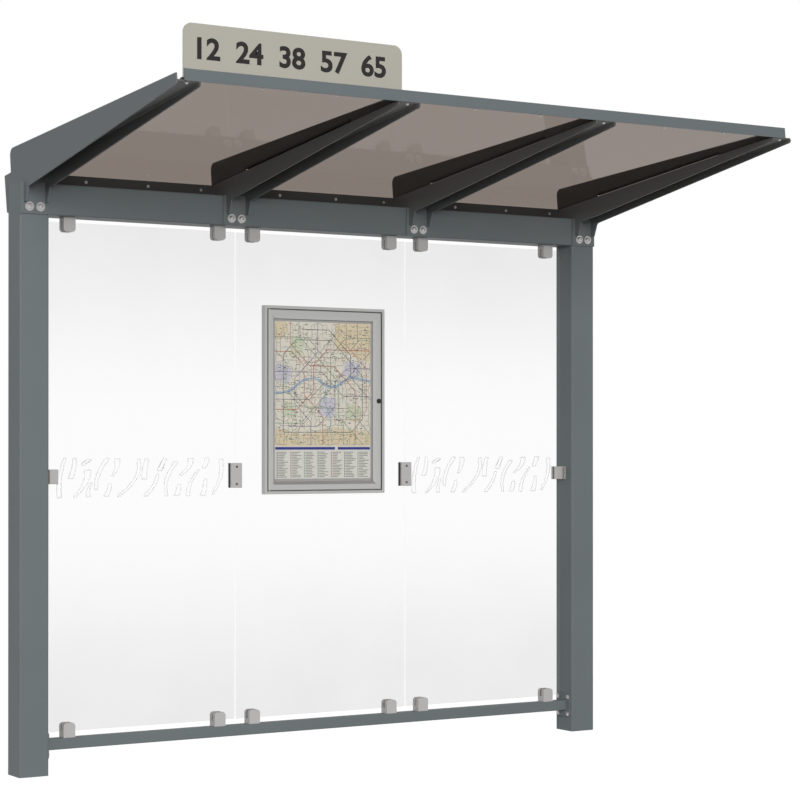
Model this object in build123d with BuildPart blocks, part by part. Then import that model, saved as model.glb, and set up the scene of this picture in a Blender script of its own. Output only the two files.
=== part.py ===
"""Cantilevered bus shelter: two posts, a glazed back wall and a smoked roof on four folded arms.

Millimetres. X runs along the shelter from the left post to the right one, Y from front to back,
and Z up. The origin is the centre of the left post's foot.
"""

from build123d import *
import os
from math import cos, radians, sin

os.makedirs("parts", exist_ok=True)

# ---- overall ----
shelter_length = 2500
post_width = 110
post_depth = 110
post_height = 2085
tube_wall = 4
tube_corner = 6
foot_plate = 10
cap_plate = 4

# ---- beam and bottom rail ----
beam_height = 110
rail_size = 40
rail_wall = 3
rail_corner = 4
rail_bottom = 84
flange_width = 90
flange_height = 92
flange_thickness = 5
flange_corner = 8

# ---- glazing ----
pane_thickness = 8
pane_count = 3
pane_gap = 6
pane_end_gap = 24
pane_foot_gap = 21
pane_head_gap = 18
pane_edge = 1.5

# ---- glass clamps ----
clamp_width = 45
clamp_depth = 40
clamp_height = 52
clamp_corner = 12
clamp_inset = 47
clamp_play = 3
jaw = 10
jaw_edge = 1.5
middle_clamp_height = 92
post_clamp_height = 52
post_clamp_grip = 29
post_clamp_wall = 4
post_clamp_flange = 26

# ---- roof arms, measured along the roof and square to it ----
roof_angle = 6.4
web_rise = 51.4
arm_width = 85
arm_sheet = 5
arm_bend = 8
arm_count = 4
arm_reach = 1266
arm_tail = 119
tip_depth = 16
tip_corner = 10
knee_forward = 100
knee_drop = 19
knee_corner = 15
toe_forward = 80
toe_rise = 41
heel_back = 95
heel_rise = 15
fin_tail = 60
fin_back_height = 85
fin_tip_height = 20
fin_corner = 25
slot_start = 206
slot_end = 966
slot_height = 12
saddle_plate = 5
bolt_hole = 13
bolt_spacing = 41
bolt_rise = 26

# ---- roof sheets ----
sheet_thickness = 5
sheet_lap = 15
sheet_side_gap = 1.5
sheet_front_gap = 2
tongue_end = 20

# ---- fascia, name board and rear ledge ----
fascia_metal = 3
fascia_drop = 3
fascia_rise = 35
fascia_leg = 25
fascia_overhang = 15
notch_gap = 1.5
board_metal = 3
board_end_gap = 26.5
board_height = 169
board_corner = 30
board_overhang = 17
ledge_metal = 3
ledge_foot = 35
ledge_lip = 20
ledge_set_back = 47
ledge_side_gap = 1

# ---- display case on the middle pane ----
poster_width = 420
poster_height = 594
poster_thickness = 1
surround_across = 42
surround_up = 46.5
case_bottom = 979
case_depth = 24
case_rim = 11
case_corner = 3
case_back_sheet = 2
backing_thickness = 2
strip_height = 15
strip_thickness = 2
door_gap = 5
door_stile = 20
door_bevel = 12
bevel_depth = 9
door_depth = 13
door_edge = 1.5
glazing_thickness = 3
glazing_set_back = 10
glazing_grip = 4
hinge_pin = 3
hinge_clearance = 0.05
hinge_reach = 6
lock_radius = 9.5
lock_barrel = 5
lock_proud = 2

# ---- places that follow from the sizes above ----
right_post = shelter_length - post_width
middle = right_post / 2
post_face = post_width / 2
beam_bottom = post_height - beam_height
rail_top = rail_bottom + rail_size
web_height = post_height + web_rise
arm_pitch = right_post / (arm_count - 1)
arm_places = [i * arm_pitch for i in range(arm_count)]
glazed_length = right_post - post_width - 2 * pane_end_gap
pane_width = (glazed_length - (pane_count - 1) * pane_gap) / pane_count
pane_pitch = pane_width + pane_gap
pane_bottom = rail_top + pane_foot_gap
pane_top = beam_bottom - pane_head_gap
pane_middle = (pane_bottom + pane_top) / 2
pane_places = [middle + (i - (pane_count - 1) / 2) * pane_pitch for i in range(pane_count)]
board_length = board_overhang + arm_pitch - board_end_gap
side_wall = arm_width / 2 - arm_sheet
turn = radians(roof_angle)


def roof_plane(x, above=0):
    """Parallel to the webs' top faces: local X along the shelter, local Y backwards down the slope."""
    forward, height = on_roof(0, above)
    return Plane(origin=(x, -forward, height), x_dir=(1, 0, 0), z_dir=(0, sin(turn), cos(turn)))


def side_plane(x):
    """A side view at x: local X is forward, local Y is height, and it faces left."""
    return Plane(origin=(x, 0, 0), x_dir=(0, -1, 0), z_dir=(-1, 0, 0))


def on_roof(along, above):
    """The side-view point that lies along the webs' top from over the beam, and square above it."""
    return (along * cos(turn) - above * sin(turn), web_height + along * sin(turn) + above * cos(turn))


def along_at(forward, above):
    """How far along the roof a side-view point is that lies this far forward and square above the webs."""
    return (forward + above * sin(turn)) / cos(turn)


def near(edge, spot):
    """Whether an edge along X lies at a side-view point."""
    centre = edge.center()
    return abs(centre.Y + spot[0]) < 0.1 and abs(centre.Z - spot[1]) < 0.1


def save(part, name):
    part.label = name
    export_step(part, f"parts/{name}.step")


def saddle_bolts(x):
    """Places of the two bolts through beam or post that hold the arm at x, in a front view."""
    height = beam_bottom + bolt_rise
    return Locations((x - bolt_spacing / 2, height), (x + bolt_spacing / 2, height))


# ---- posts: square tube, closed by a foot plate and a cap ----
def make_post(x):
    with BuildPart() as post:
        with BuildSketch(Plane.XY):
            with Locations((x, 0)):
                RectangleRounded(post_width, post_depth, tube_corner)
        extrude(amount=post_height)
        with BuildSketch(Plane.XY.offset(foot_plate)):
            with Locations((x, 0)):
                Rectangle(post_width - 2 * tube_wall, post_depth - 2 * tube_wall)
        extrude(amount=post_height - foot_plate - cap_plate, mode=Mode.SUBTRACT)
        with BuildSketch(Plane.XZ):
            with saddle_bolts(x):
                Circle(bolt_hole / 2)
        extrude(amount=post_depth, both=True, mode=Mode.SUBTRACT)
    return post.part


for name, x in (("left_post", 0), ("right_post", right_post)):
    save(make_post(x), name)

# ---- top beam between the posts ----
with BuildPart() as top_beam:
    with BuildSketch(Plane.YZ.offset(post_face)):
        with Locations((0, post_height - beam_height / 2)):
            RectangleRounded(post_depth, beam_height, tube_corner)
            Rectangle(post_depth - 2 * tube_wall, beam_height - 2 * tube_wall, mode=Mode.SUBTRACT)
    extrude(amount=right_post - post_width)
    with BuildSketch(Plane.XZ):
        for arm_x in arm_places[1:-1]:
            with saddle_bolts(arm_x):
                Circle(bolt_hole / 2)
    extrude(amount=post_depth, both=True, mode=Mode.SUBTRACT)
save(top_beam.part, "top_beam")

# ---- bottom rail between its two screwed flanges ----
with BuildPart() as bottom_rail:
    with BuildSketch(Plane.YZ.offset(post_face + flange_thickness)):
        with Locations((0, rail_bottom + rail_size / 2)):
            RectangleRounded(rail_size, rail_size, rail_corner)
            Rectangle(rail_size - 2 * rail_wall, rail_size - 2 * rail_wall, mode=Mode.SUBTRACT)
    extrude(amount=right_post - post_width - 2 * flange_thickness)
save(bottom_rail.part, "bottom_rail")


def make_flange(x):
    with BuildPart() as flange:
        with BuildSketch(Plane.YZ.offset(x)):
            with Locations((0, rail_bottom + rail_size / 2)):
                RectangleRounded(flange_width, flange_height, flange_corner)
        extrude(amount=flange_thickness)
    return flange.part


save(make_flange(post_face), "rail_flange_left")
save(make_flange(right_post - post_face - flange_thickness), "rail_flange_right")


# ---- glass panes, with their sharp edges ground off ----
def make_pane(x):
    with BuildPart() as pane:
        with BuildSketch(Plane.XZ.offset(-pane_thickness / 2)):
            with Locations((x, pane_middle)):
                Rectangle(pane_width, pane_top - pane_bottom)
        extrude(amount=pane_thickness)
        chamfer(pane.edges().filter_by(Axis.Y), pane_edge)
    return pane.part


for i, x in enumerate(pane_places):
    save(make_pane(x), f"glass_pane_{i + 1}")


# ---- clamps on the rail and under the beam: blocks slotted for the glass, round at the free end ----
def make_clamp(x, foot, up):
    """foot is the height of the face it is screwed to, and up is 1 on the rail and -1 under the beam."""
    glass_edge = pane_bottom if up > 0 else pane_top + clamp_play
    with BuildPart() as clamp:
        with BuildSketch(Plane.XY.offset(foot)):
            with Locations((x, 0)):
                Rectangle(clamp_width, clamp_depth)
        extrude(amount=up * clamp_height)
        free_end = clamp.faces().sort_by(Axis.Z)[-1 if up > 0 else 0]
        fillet(free_end.edges().filter_by(Axis.Y), clamp_corner)
        with BuildSketch(Plane.XY.offset(glass_edge)):
            with Locations((x, 0)):
                Rectangle(clamp_width, pane_thickness)
        extrude(amount=up * clamp_height, mode=Mode.SUBTRACT)
    return clamp.part


clamp_places = []
for pane_x in pane_places:
    for side in (-1, 1):
        clamp_places.append(pane_x + side * (pane_width / 2 - clamp_inset - clamp_width / 2))
for i, x in enumerate(clamp_places):
    save(make_clamp(x, rail_top, 1), f"bottom_clamp_{i + 1}")
    save(make_clamp(x, beam_bottom, -1), f"top_clamp_{i + 1}")


# ---- middle clamps: two plates joined through the gap between panes ----
def make_middle_clamp(x):
    with BuildPart() as clamp:
        with BuildSketch(Plane.XY.offset(pane_middle - middle_clamp_height / 2)):
            with Locations((x, 0)):
                Rectangle(clamp_width, pane_thickness + 2 * jaw)
            for side in (-1, 1):
                with Locations((x + side * (pane_gap + clamp_width) / 2, 0)):
                    Rectangle(clamp_width, pane_thickness, mode=Mode.SUBTRACT)
        extrude(amount=middle_clamp_height)
        outer_faces = clamp.faces().filter_by(Axis.Y).sort_by(Axis.Y)
        chamfer([edge for face in (outer_faces[0], outer_faces[-1]) for edge in face.edges()], jaw_edge)
    return clamp.part


for i in range(pane_count - 1):
    save(make_middle_clamp(pane_places[i] + pane_pitch / 2), f"middle_clamp_{i + 1}")


# ---- post clamps: a jaw round the pane's edge, on a lug with a flange against the post ----
def make_post_clamp(face_x, into):
    """face_x is the post's inner face, and into is 1 where the glass is to its right."""
    edge_x = face_x + into * pane_end_gap
    half = pane_thickness / 2
    grip_x = edge_x + into * post_clamp_grip
    back_x = edge_x - into * post_clamp_wall
    flange_x = face_x + into * post_clamp_wall
    flange_y = half + jaw - post_clamp_flange
    with BuildPart() as clamp:
        with BuildSketch(Plane.XY.offset(pane_middle - post_clamp_height / 2)):
            with BuildLine():
                Polyline(
                    (grip_x, -half - jaw),
                    (back_x, -half - jaw),
                    (back_x, half),
                    (flange_x, half),
                    (flange_x, flange_y),
                    (face_x, flange_y),
                    (face_x, half + jaw),
                    (grip_x, half + jaw),
                    (grip_x, half),
                    (edge_x, half),
                    (edge_x, -half),
                    (grip_x, -half),
                    close=True,
                )
            make_face()
        extrude(amount=post_clamp_height)
        outer_faces = clamp.faces().filter_by(Axis.Y).sort_by(Axis.Y)
        chamfer(outer_faces[0].edges(), jaw_edge)
    return clamp.part


save(make_post_clamp(post_face, 1), "post_clamp_left")
save(make_post_clamp(right_post - post_face, -1), "post_clamp_right")


# ---- roof arms: a folded channel with a tall fin on its left, cut to a taper over the beam ----
def make_arm(x, carries_tongue):
    beyond = fin_back_height + beam_height + web_rise
    tail_plane = Plane(
        origin=(x, arm_tail * cos(turn), web_height - arm_tail * sin(turn)),
        x_dir=(1, 0, 0),
        z_dir=(0, -cos(turn), sin(turn)),
    )
    half = arm_width / 2
    with BuildPart() as arm:
        # the section, square to the roof: left side plate, web, and right side folded down
        with BuildSketch(tail_plane):
            with BuildLine():
                Polyline(
                    (-side_wall, -beyond),
                    (-half, -beyond),
                    (-half, beyond),
                    (-side_wall, beyond),
                    (-side_wall, 0),
                    (half, 0),
                    (half, -beyond),
                    (side_wall, -beyond),
                    (side_wall, -arm_sheet),
                    (-side_wall, -arm_sheet),
                    close=True,
                )
            make_face()
        extrude(amount=arm_tail + arm_reach)
        long_edges = arm.edges().filter_by(Axis((0, 0, 0), (0, -cos(turn), sin(turn)))).group_by(Axis.X)
        fillet(long_edges[-1].sort_by(Axis.Z)[-1], arm_bend)
        long_edges = arm.edges().filter_by(Axis((0, 0, 0), (0, -cos(turn), sin(turn))))
        inner = long_edges.filter_by_position(Axis.X, x + side_wall - 0.01, x + side_wall + 0.01)
        fillet(inner.sort_by(Axis.Z)[-1], arm_bend - arm_sheet)
        # the side view: saddle notch, knee, tapering underside, fin
        with BuildSketch(side_plane(x + half)):
            with BuildLine():
                Polyline(
                    on_roof(arm_reach, -tip_depth),
                    on_roof(arm_reach, fin_tip_height),
                    on_roof(-fin_tail, fin_back_height),
                    on_roof(-fin_tail, 0),
                    on_roof(-arm_tail, 0),
                    (-heel_back, beam_bottom + heel_rise),
                    (-post_depth / 2 - saddle_plate, beam_bottom + heel_rise),
                    (-post_depth / 2 - saddle_plate, post_height),
                    (post_depth / 2 + saddle_plate, post_height),
                    (post_depth / 2 + saddle_plate, beam_bottom + toe_rise),
                    (toe_forward, beam_bottom + toe_rise),
                    (knee_forward, post_height - knee_drop),
                    close=True,
                )
            make_face()
        extrude(amount=arm_width, mode=Mode.INTERSECT)
        across = arm.edges().filter_by(Axis.X)
        for spot, radius in (
            (on_roof(arm_reach, -tip_depth), tip_corner),
            (on_roof(-fin_tail, fin_back_height), fin_corner),
            ((knee_forward, post_height - knee_drop), knee_corner),
        ):
            fillet(across.filter_by(lambda edge: near(edge, spot)), radius)
        # the slot through the left side, along the web, for the next sheet's tongue
        if carries_tongue:
            with BuildSketch(side_plane(x - side_wall)):
                slot_middle = on_roof((slot_start + slot_end) / 2, slot_height / 2)
                with Locations(Location((*slot_middle, 0), (0, 0, roof_angle))):
                    SlotOverall(slot_end - slot_start, slot_height)
            extrude(amount=arm_sheet, mode=Mode.SUBTRACT)
        # saddle plates in front of the beam and behind it, bolted through
        front_plate = (-post_depth / 2, beam_bottom)
        back_plate = (post_depth / 2 + saddle_plate, beam_bottom + heel_rise)
        for plate_y, plate_foot in (front_plate, back_plate):
            with BuildSketch(Plane.XZ.offset(-plate_y)):
                with Locations((x, (plate_foot + post_height) / 2)):
                    Rectangle(post_width, post_height - plate_foot)
                with saddle_bolts(x):
                    Circle(bolt_hole / 2, mode=Mode.SUBTRACT)
            extrude(amount=saddle_plate)
    return arm.part


for i, x in enumerate(arm_places):
    save(make_arm(x, i > 0), f"roof_arm_{i + 1}")


# ---- roof sheets: each lies on its left arm's web, and its tongue reaches through its right arm's slot ----
def make_roof_sheet(left_x, right_x):
    back = fin_tail
    front = arm_reach - sheet_front_gap
    side = right_x - arm_width / 2 - sheet_side_gap
    with BuildPart() as sheet:
        with BuildSketch(roof_plane(0)):
            with BuildLine():
                Polyline(
                    (left_x - sheet_lap, back),
                    (left_x - sheet_lap, -front),
                    (side, -front),
                    (side, -slot_end + slot_height / 2),
                    (right_x - tongue_end, -slot_end + slot_height / 2),
                    (right_x - tongue_end, -slot_start - slot_height / 2),
                    (side, -slot_start - slot_height / 2),
                    (side, back),
                    close=True,
                )
            make_face()
        extrude(amount=sheet_thickness)
    return sheet.part


for i in range(arm_count - 1):
    save(make_roof_sheet(arm_places[i], arm_places[i + 1]), f"roof_sheet_{i + 1}")


# ---- fascia: an angle on the sheets' front edge, notched round the fins ----
def fin_notches():
    """Places of the notches round the fins' front ends, in a plane parallel to the roof."""
    return Locations(*[(x - side_wall - arm_sheet / 2, -arm_reach + fascia_leg / 2) for x in arm_places])


fascia_start = -fascia_overhang
with BuildPart() as front_fascia:
    with BuildSketch(side_plane(fascia_start)):
        with BuildLine():
            Polyline(
                on_roof(arm_reach + fascia_metal, -fascia_drop),
                on_roof(arm_reach + fascia_metal, fascia_rise),
                on_roof(arm_reach, fascia_rise),
                on_roof(arm_reach, sheet_thickness + fascia_metal),
                on_roof(arm_reach - fascia_leg, sheet_thickness + fascia_metal),
                on_roof(arm_reach - fascia_leg, sheet_thickness),
                on_roof(arm_reach, sheet_thickness),
                on_roof(arm_reach, -fascia_drop),
                close=True,
            )
        make_face()
    extrude(amount=-(right_post + 2 * fascia_overhang))
    with BuildSketch(roof_plane(0, sheet_thickness)):
        with fin_notches():
            Rectangle(arm_sheet + 2 * notch_gap, fascia_leg)
    extrude(amount=fascia_metal, mode=Mode.SUBTRACT)
save(front_fascia.part, "front_fascia")

# ---- name board: an upright plate behind the fascia, its foot folded back onto the fascia's leg ----
board_forward = on_roof(arm_reach, fascia_rise)[0]
board_back = board_forward - board_metal
board_seat = sheet_thickness + fascia_metal
board_foot = on_roof(along_at(board_forward, board_seat), board_seat)
board_top = board_foot[1] + board_height
foot_top = board_seat + board_metal
with BuildPart() as name_board:
    with BuildSketch(side_plane(-board_overhang)):
        with BuildLine():
            Polyline(
                (board_forward, board_top),
                (board_back, board_top),
                on_roof(along_at(board_back, foot_top), foot_top),
                on_roof(arm_reach - fascia_leg, foot_top),
                on_roof(arm_reach - fascia_leg, board_seat),
                board_foot,
                close=True,
            )
        make_face()
    extrude(amount=-board_length)
    fillet(name_board.edges().filter_by(Axis.Y).group_by(Axis.Z)[-1], board_corner)
    with BuildSketch(roof_plane(0, board_seat)):
        with fin_notches():
            Rectangle(arm_sheet + 2 * notch_gap, fascia_leg)
    extrude(amount=fin_tip_height + notch_gap - board_seat, mode=Mode.SUBTRACT)
save(name_board.part, "name_board")


# ---- rear ledges: folded strips on the beam that carry the sheets' back edges ----
def make_ledge(start_x, end_x):
    with BuildPart() as ledge:
        with BuildSketch(side_plane(start_x)):
            with BuildLine():
                Polyline(
                    (-ledge_set_back + ledge_foot, post_height),
                    (-ledge_set_back - ledge_metal, post_height),
                    on_roof(-ledge_set_back - ledge_metal, -ledge_metal),
                    on_roof(-ledge_set_back - ledge_lip, -ledge_metal),
                    on_roof(-ledge_set_back - ledge_lip, 0),
                    on_roof(-ledge_set_back, 0),
                    (-ledge_set_back, post_height + ledge_metal),
                    (-ledge_set_back + ledge_foot, post_height + ledge_metal),
                    close=True,
                )
            make_face()
        extrude(amount=start_x - end_x)
    return ledge.part


for i in range(arm_count - 1):
    start_x = arm_places[i] + arm_width / 2 + ledge_side_gap
    end_x = arm_places[i + 1] - arm_width / 2 - ledge_side_gap
    save(make_ledge(start_x, end_x), f"rear_ledge_{i + 1}")

# ---- display case: a deep rim with a back sheet, on the middle pane's front ----
inner_width = poster_width + 2 * surround_across
inner_height = poster_height + 2 * surround_up
case_width = inner_width + 2 * case_rim
case_height = inner_height + 2 * case_rim
case_middle = (middle, case_bottom + case_height / 2)
case_back_y = -pane_thickness / 2
case_front_y = case_back_y - case_depth
with BuildPart() as case_frame:
    with BuildSketch(Plane.XZ.offset(-case_back_y)):
        with Locations(case_middle):
            RectangleRounded(case_width, case_height, case_corner)
            Rectangle(inner_width, inner_height, mode=Mode.SUBTRACT)
    extrude(amount=case_depth)
    # bores for the door's hinge pins, in the top and bottom of the rim
    pin_x = middle - inner_width / 2 + door_gap + door_depth / 2
    pin_y = case_front_y + door_depth / 2
    for rim_z, up in ((case_bottom + case_rim, -1), (case_bottom + case_height - case_rim, 1)):
        with BuildSketch(Plane.XY.offset(rim_z)):
            with Locations((pin_x, pin_y)):
                Circle(hinge_pin + hinge_clearance)
        extrude(amount=up * (hinge_reach + 1), mode=Mode.SUBTRACT)
save(case_frame.part, "case_frame")

with BuildPart() as case_back:
    with BuildSketch(Plane.XZ.offset(-case_back_y)):
        with Locations(case_middle):
            Rectangle(inner_width, inner_height)
    extrude(amount=case_back_sheet)
save(case_back.part, "case_back")

with BuildPart() as backing_board:
    with BuildSketch(Plane.XZ.offset(-case_back_y + case_back_sheet)):
        with Locations(case_middle):
            Rectangle(inner_width, inner_height)
    extrude(amount=backing_thickness)
save(backing_board.part, "backing_board")

backing_front = -case_back_y + case_back_sheet + backing_thickness
with BuildPart() as poster:
    with BuildSketch(Plane.XZ.offset(backing_front)):
        with Locations(case_middle):
            Rectangle(poster_width, poster_height)
    extrude(amount=poster_thickness)
save(poster.part, "poster")

with BuildPart() as poster_strips:
    with BuildSketch(Plane.XZ.offset(backing_front)):
        with Locations(case_middle):
            with GridLocations(0, poster_height + strip_height, 1, 2):
                Rectangle(poster_width, strip_height)
    extrude(amount=strip_thickness)
save(poster_strips.part, "poster_strips")

# ---- the case's door: a frame hung on two pins, its hinge side round about them ----
door_width = inner_width - 2 * door_gap
door_height = inner_height - 2 * door_gap
opening_width = door_width - 2 * (door_stile + door_bevel)
opening_height = door_height - 2 * (door_stile + door_bevel)
glazing_width = opening_width + 2 * glazing_grip
glazing_height = opening_height + 2 * glazing_grip
lock_place = (middle + door_width / 2 - door_stile / 2, case_middle[1])
with BuildPart() as door_frame:
    with BuildSketch(Plane.XZ.offset(-case_front_y - door_depth)):
        with Locations(case_middle):
            Rectangle(door_width, door_height)
    extrude(amount=door_depth)
    hinge_edges = door_frame.edges().filter_by(Axis.Z).group_by(Axis.X)[0]
    fillet(hinge_edges, door_depth / 2 - 0.01)
    chamfer(door_frame.faces().sort_by(Axis.Y)[0].edges().group_by(Axis.X)[-1], door_edge)
    # the opening slopes in from the flat front to the glazing
    with BuildSketch(Plane.XZ.offset(-case_front_y)):
        with Locations(case_middle):
            Rectangle(opening_width + 2 * door_bevel, opening_height + 2 * door_bevel)
    with BuildSketch(Plane.XZ.offset(-case_front_y - bevel_depth)):
        with Locations(case_middle):
            Rectangle(opening_width, opening_height)
    loft(mode=Mode.SUBTRACT)
    with BuildSketch(Plane.XZ.offset(-case_front_y)):
        with Locations(case_middle):
            Rectangle(opening_width, opening_height)
    extrude(amount=-door_depth, mode=Mode.SUBTRACT)
    with BuildSketch(Plane.XZ.offset(-case_front_y - glazing_set_back)):
        with Locations(case_middle):
            Rectangle(glazing_width, glazing_height)
    extrude(amount=-(door_depth - glazing_set_back), mode=Mode.SUBTRACT)
    for pin_z, up in ((case_middle[1] - door_height / 2, -1), (case_middle[1] + door_height / 2, 1)):
        with BuildSketch(Plane.XY.offset(pin_z)):
            with Locations((pin_x, pin_y)):
                Circle(hinge_pin)
        extrude(amount=up * (door_gap + hinge_reach))
    with BuildSketch(Plane.XZ.offset(-case_front_y)):
        with Locations(lock_place):
            Circle(lock_barrel)
    extrude(amount=-door_depth, mode=Mode.SUBTRACT)
save(door_frame.part, "door_frame")

with BuildPart() as door_glazing:
    with BuildSketch(Plane.XZ.offset(-case_front_y - glazing_set_back)):
        with Locations(case_middle):
            Rectangle(glazing_width, glazing_height)
    extrude(amount=-glazing_thickness)
save(door_glazing.part, "door_glazing")

with BuildPart() as door_lock:
    with BuildSketch(Plane.XZ.offset(-case_front_y)):
        with Locations(lock_place):
            Circle(lock_radius)
    extrude(amount=lock_proud)
    with BuildSketch(Plane.XZ.offset(-case_front_y)):
        with Locations(lock_place):
            Circle(lock_barrel)
    extrude(amount=-door_depth)
save(door_lock.part, "door_lock")
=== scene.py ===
import itertools
from math import cos, pi, radians, sin
import random

import bpy
from mathutils import Matrix, Vector


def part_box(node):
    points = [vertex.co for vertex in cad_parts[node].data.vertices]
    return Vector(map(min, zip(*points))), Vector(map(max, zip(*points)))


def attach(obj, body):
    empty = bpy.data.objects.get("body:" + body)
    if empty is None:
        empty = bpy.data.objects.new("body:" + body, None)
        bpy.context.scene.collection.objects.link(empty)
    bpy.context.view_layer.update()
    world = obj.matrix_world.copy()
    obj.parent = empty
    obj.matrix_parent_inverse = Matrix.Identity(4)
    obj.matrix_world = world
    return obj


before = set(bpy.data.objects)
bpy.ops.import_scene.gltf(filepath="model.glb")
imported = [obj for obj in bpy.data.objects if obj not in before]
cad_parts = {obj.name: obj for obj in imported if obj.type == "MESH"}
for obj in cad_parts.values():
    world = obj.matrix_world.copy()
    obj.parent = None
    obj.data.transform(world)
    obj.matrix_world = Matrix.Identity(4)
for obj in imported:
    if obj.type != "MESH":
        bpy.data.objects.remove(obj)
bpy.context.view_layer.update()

scene = bpy.context.scene
mm = 0.001

# ---- Posts, top beam and bottom rail ----
# Square steel tube, welded, hot-dip galvanised and then powder coated in a mid grey.
# The powder is sprayed on dry and baked, which leaves an even, matt skin with the faint
# ripple called orange peel.


def linear(hex_colour):
    """The linear red, green, blue and alpha of an sRGB hex colour."""
    shares = [int(hex_colour[i:i + 2], 16) / 255 for i in (1, 3, 5)]
    return [s / 12.92 if s <= 0.04045 else ((s + 0.055) / 1.055) ** 2.4 for s in shares] + [1]


def add(tree, kind, inputs=None, **settings):
    """Adds a node: each input is linked where it is given another node's output, or else set."""
    node = tree.nodes.new(kind)
    for name, value in settings.items():
        setattr(node, name, value)
    for key, value in (inputs or {}).items():
        if isinstance(value, bpy.types.NodeSocket):
            tree.links.new(value, node.inputs[key])
        else:
            node.inputs[key].default_value = value
    return node


def blend(tree, share, first, second):
    """A colour that lies this share of the way from the first to the second."""
    return add(tree, "ShaderNodeMix", {"Factor": share, "A": first, "B": second},
               data_type="RGBA").outputs["Result"]


def speckle(tree, patch, detail):
    """Object coordinates, and a noise over them in patches of this size in metres."""
    place = add(tree, "ShaderNodeTexCoord").outputs["Object"]
    noise = add(tree, "ShaderNodeTexNoise", {"Vector": place, "Scale": 1 / patch, "Detail": detail})
    return place, noise.outputs["Fac"]


def bare_finish(name):
    """A material with an empty node tree, and that tree."""
    finish = bpy.data.materials.new(name)
    finish.use_nodes = True
    finish.node_tree.nodes.clear()
    return finish, finish.node_tree


def coat(finish, *nodes):
    """Puts one finish on these CAD nodes."""
    for node in nodes:
        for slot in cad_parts[node].material_slots:
            slot.material = finish


def powder_coat(name, light, dark, painted_shade=None, painted_shade_right_of=-1.0):
    """Matt baked powder, its tone drifting over about 300 mm.

    Where a painted-shade colour is given, the coat darkens to it above 2 m and to the right of that place
    along X, as painted shade under the roof.
    """
    finish, tree = bare_finish(name)
    place, drift = speckle(tree, 300 * mm, 2)
    colour = blend(tree, drift, linear(dark), linear(light))
    # Painted shade: above 2 m the colour darkens, for the shade that the roof casts.
    if painted_shade is not None:
        spot = add(tree, "ShaderNodeSeparateXYZ", {"Vector": place}).outputs
        share = add(tree, "ShaderNodeMapRange", {
            "Value": spot["Z"], "From Min": 2035 * mm, "From Max": 2115 * mm, "To Min": 0.0, "To Max": 0.8})
        inside = add(tree, "ShaderNodeMath", {0: spot["X"], 1: painted_shade_right_of}, operation="GREATER_THAN")
        cover = add(tree, "ShaderNodeMath", {0: share.outputs["Result"], 1: inside.outputs["Value"]},
                    operation="MULTIPLY")
        colour = blend(tree, cover.outputs["Value"], colour, linear(painted_shade))
    # The grain of the powder is near 1 mm, and is drawn 3 mm across so that it can be seen.
    grain = add(tree, "ShaderNodeTexNoise", {
        "Vector": place, "Scale": 1 / (3 * mm), "Detail": 2}).outputs["Fac"]
    gloss = add(tree, "ShaderNodeMapRange", {"Value": grain, "To Min": 0.42, "To Max": 0.56})
    peel = add(tree, "ShaderNodeBump", {"Height": grain, "Strength": 0.12, "Distance": 0.3 * mm})
    shader = add(tree, "ShaderNodeBsdfPrincipled", {
        "Base Color": colour, "Roughness": gloss.outputs["Result"],
        "Normal": peel.outputs["Normal"], "IOR": 1.5, "Specular IOR Level": 0.25})
    add(tree, "ShaderNodeOutputMaterial", {"Surface": shader.outputs["BSDF"]})
    return finish


grey_powder = powder_coat("Powder coated steel, mid grey", "#71787A", "#6A7173")
coat(grey_powder, "left_post", "right_post", "top_beam", "bottom_rail")

# ---- Rail flanges and their screws ----
# A laser-cut steel plate is welded on each end of the rail and coated with it.
# Four flanged button-head screws of stainless steel hold each plate to its post.


def node_group(name, **sizes):
    """A geometry tree with these named inputs, and the outputs that its input node gives."""
    tree = bpy.data.node_groups.new(name, "GeometryNodeTree")
    for label, kind in {"Geometry": "Geometry", **sizes}.items():
        tree.interface.new_socket(label.replace("_", " "), in_out="INPUT", socket_type="NodeSocket" + kind)
    tree.interface.new_socket("Geometry", in_out="OUTPUT", socket_type="NodeSocketGeometry")
    return tree, add(tree, "NodeGroupInput").outputs


def close_group(tree, shape, finish):
    """Ends a tree: what it has placed becomes real mesh in one finish."""
    real = add(tree, "GeometryNodeRealizeInstances", {"Geometry": shape})
    done = add(tree, "GeometryNodeSetMaterial", {"Geometry": real.outputs["Geometry"], "Material": finish})
    add(tree, "NodeGroupOutput", {"Geometry": done.outputs["Geometry"]})


def worked(name, tree, points, lines=(), **sizes):
    """A plain mesh object: what the tree makes of these points and lines with these sizes."""
    mesh = bpy.data.meshes.new(name)
    mesh.from_pydata([tuple(p) for p in points], list(lines), [])
    blank = bpy.data.objects.new(name + "_blank", mesh)
    scene.collection.objects.link(blank)
    modifier = blank.modifiers.new(name, "NODES")
    modifier.node_group = tree
    for socket in tree.interface.items_tree:
        label = socket.name.replace(" ", "_")
        if socket.in_out == "INPUT" and label in sizes:
            modifier[socket.identifier] = sizes[label]
    ready = blank.evaluated_get(bpy.context.evaluated_depsgraph_get())
    piece = bpy.data.objects.new(name, bpy.data.meshes.new_from_object(ready))
    scene.collection.objects.link(piece)
    bpy.data.objects.remove(blank)
    return piece


def live(node):
    """The output in use of a node that has one for each type of value."""
    return next(o for o in node.outputs if o.enabled)


def closed_shape(tree, top, under):
    """One closed mesh of a raised shape and the face that closes it below."""
    whole = add(tree, "GeometryNodeJoinGeometry")
    for part in (top, under):
        tree.links.new(part, whole.inputs["Geometry"])
    return add(tree, "GeometryNodeMergeByDistance", {
        "Geometry": whole.outputs["Geometry"], "Distance": 0.001 * mm}).outputs["Geometry"]


def fit(piece, body):
    """The piece moves with that body."""
    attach(piece, body)


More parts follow.
